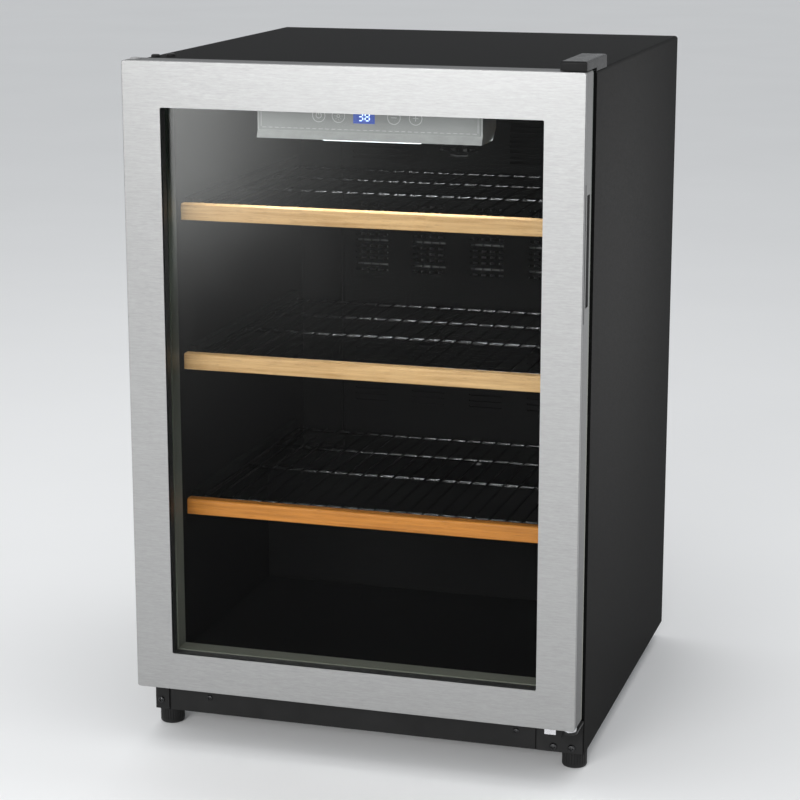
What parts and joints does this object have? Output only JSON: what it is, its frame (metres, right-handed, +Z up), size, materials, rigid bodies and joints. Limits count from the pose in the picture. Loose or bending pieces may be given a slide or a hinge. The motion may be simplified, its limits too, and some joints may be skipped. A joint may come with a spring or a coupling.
{
  "type": "glass-door mini fridge",
  "caption": "Free-standing beverage cooler with one right-hinged glass door in a brushed steel border, wire shelves with wooden fronts, a touch panel inside and a compressor bay at the back.",
  "frame": {"origin": "on the floor, under the middle of the overall box", "axes": "+Z up, the door faces -Y, the hinge side is +X"},
  "size_m": [0.545, 0.566, 0.8405],
  "materials": {
    "cabinet_paint": "satin",
    "back_paint": "matte",
    "galvanised_steel": "satin",
    "black_painted_steel": "satin",
    "trim_plastic": "matte",
    "liner_plastic": "satin",
    "foam": "matte",
    "copper": "satin",
    "compressor_paint": "gloss",
    "rubber": "matte",
    "grey_plastic": "matte",
    "inlet_plastic": "satin",
    "fan_plastic": "satin",
    "fin_aluminium": "satin",
    "panel_plastic": "gloss",
    "panel_gloss": "gloss",
    "display_blue": "gloss",
    "lamp_lens": "gloss",
    "cover_gloss": "gloss",
    "plated_steel": "satin",
    "nylon": "satin",
    "stainless": "satin",
    "door_plastic": "satin",
    "tunnel_plastic": "satin",
    "clear_glass": "polished",
    "spacer_black": "matte",
    "gasket_vinyl": "satin",
    "magnet_strip": "matte",
    "wire_black": "gloss",
    "beech": "satin"
  },
  "bodies": {
    "cabinet": {"outer_shell": "cabinet_paint", "back_panel": "back_paint", "base_pan": "galvanised_steel", "base_rails": "galvanised_steel", "front_rail": "black_painted_steel", "kick_plate": "trim_plastic", "hinge_hole_cover": "trim_plastic", "body_screws": "plated_steel", "inner_liner": "liner_plastic", "foam_insulation": "foam", "drain_tube": "grey_plastic", "condenser_coil": "copper", "compressor_plate": "galvanised_steel", "compressor_grommets": "rubber", "compressor": "compressor_paint", "relay_cover": "trim_plastic", "drip_tray": "trim_plastic", "filter_drier": "copper", "refrigerant_tubes": "copper", "control_box": "grey_plastic", "power_inlet": "inlet_plastic", "duct_cover": "liner_plastic", "fan_frame": "fan_plastic", "fan_motor": "fan_plastic", "evaporator": "fin_aluminium", "panel_housing": "panel_plastic", "panel_fascia": "panel_gloss", "panel_display": "display_blue", "led_lamp": "lamp_lens", "top_hinge_bracket": "black_painted_steel", "hinge_cover": "cover_gloss", "lower_hinge_bracket": "black_painted_steel", "hinge_pins": "plated_steel", "hinge_washer": "nylon", "hinge_screws": "plated_steel", "screw_plugs": "trim_plastic", "rear_feet": "trim_plastic"},
    "door": {"door_bezel": "stainless", "door_frame": "door_plastic", "door_back": "tunnel_plastic", "outer_glass": "clear_glass", "inner_glass": "clear_glass", "glass_spacer": "spacer_black", "door_gasket": "gasket_vinyl", "gasket_magnets": "magnet_strip", "handle_cups": "door_plastic", "door_bushings": "nylon", "door_plugs": "grey_plastic", "door_stop": "plated_steel"},
    "fan": {"fan_rotor": "fan_plastic"},
    "shelf_1": {"shelf_rack_1": "wire_black", "shelf_fascia_1": "beech"},
    "shelf_2": {"shelf_rack_2": "wire_black", "shelf_fascia_2": "beech"},
    "shelf_3": {"shelf_rack_3": "wire_black", "shelf_fascia_3": "beech"},
    "foot_left_stud": {"foot_stud_left": "plated_steel"},
    "foot_left_pad": {"foot_pad_left": "trim_plastic"},
    "foot_right_stud": {"foot_stud_right": "plated_steel"},
    "foot_right_pad": {"foot_pad_right": "trim_plastic"}
  },
  "joints": [
    {"name": "door_hinge", "type": "hinge", "parent": "cabinet", "child": "door", "pos_m": [0.263, -0.263, 0.45], "axis": [0, 0, 1], "range_deg": [0, 115]},
    {"name": "shelf_1_slide", "type": "slide", "parent": "cabinet", "child": "shelf_1", "axis": [0, -1, 0], "range_m": [0, 0.024]},
    {"name": "shelf_2_slide", "type": "slide", "parent": "cabinet", "child": "shelf_2", "axis": [0, -1, 0], "range_m": [0, 0.024]},
    {"name": "shelf_3_slide", "type": "slide", "parent": "cabinet", "child": "shelf_3", "axis": [0, -1, 0], "range_m": [0, 0.024]},
    {"name": "fan_spin", "type": "hinge", "parent": "cabinet", "child": "fan", "pos_m": [0, 0.2175, 0.712], "axis": [0, 1, 0], "continuous": true},
    {"name": "foot_left_height", "type": "slide", "parent": "cabinet", "child": "foot_left_stud", "axis": [0, 0, -1], "range_m": [0, 0.01]},
    {"name": "foot_left_turn", "type": "hinge", "parent": "foot_left_stud", "child": "foot_left_pad", "pos_m": [-0.2575, -0.21, 0.01], "axis": [0, 0, -1], "range_deg": [0, 2881]},
    {"name": "foot_right_height", "type": "slide", "parent": "cabinet", "child": "foot_right_stud", "axis": [0, 0, -1], "range_m": [0, 0.01]},
    {"name": "foot_right_turn", "type": "hinge", "parent": "foot_right_stud", "child": "foot_right_pad", "pos_m": [0.2575, -0.21, 0.01], "axis": [0, 0, -1], "range_deg": [0, 2881]}
  ],
  "couplings": [
    {"joint": "foot_left_turn", "follows": "foot_left_height", "rad_per_m": 5026.5},
    {"joint": "foot_right_turn", "follows": "foot_right_height", "rad_per_m": 5026.5}
  ]
}
